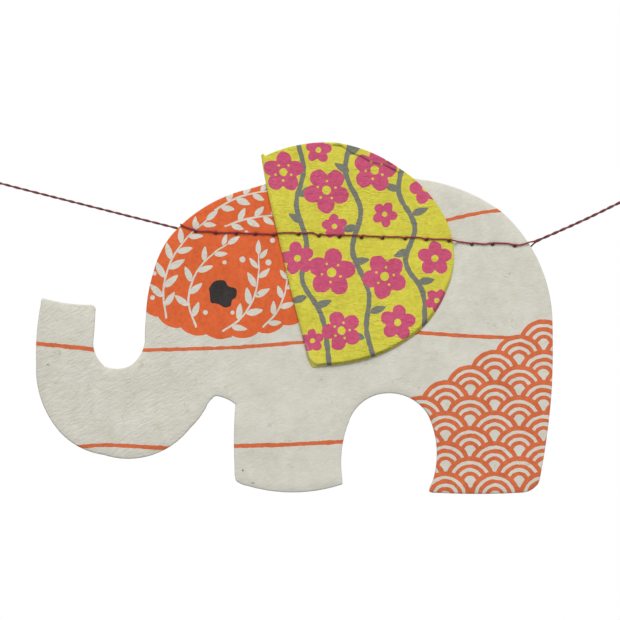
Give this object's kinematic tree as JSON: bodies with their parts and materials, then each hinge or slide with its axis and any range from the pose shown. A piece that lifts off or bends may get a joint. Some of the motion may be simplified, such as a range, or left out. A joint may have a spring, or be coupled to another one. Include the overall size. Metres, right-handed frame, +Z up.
{
  "type": "sewn paper garland elephant",
  "caption": "Flat die-cut paper elephant with a sewn-on paper ear, strung on a twisted sewing thread that ends in a knotted loop on each side.",
  "frame": {"origin": "middle of the eye of the left hanging loop", "axes": "+Z up as it hangs, +X to the right of the printed front, and the printed front faces -Y"},
  "size_m": [0.1434, 0.0023, 0.0681],
  "materials": {
    "body_paper": "matte, mottled handmade paper with orange print",
    "ear_paper": "matte, wrinkled handmade paper with yellow, magenta and grey print",
    "maroon_thread": "twisted sewing thread, slight sheen",
    "dark_thread": "twisted sewing thread, slight sheen",
    "twisted_thread": "maroon and dark sewing thread twisted together"
  },
  "bodies": {
    "root": {"elephant_body": "body_paper", "ear": "ear_paper", "needle_thread": "maroon_thread", "bobbin_thread": "dark_thread", "thread_left": "twisted_thread", "thread_right": "twisted_thread", "knot_left": "twisted_thread", "knot_right": "twisted_thread", "loop_ring_left": "twisted_thread", "loop_ring_right": "twisted_thread", "tail_left": "twisted_thread", "tail_right": "twisted_thread"}
  },
  "joints": []
}
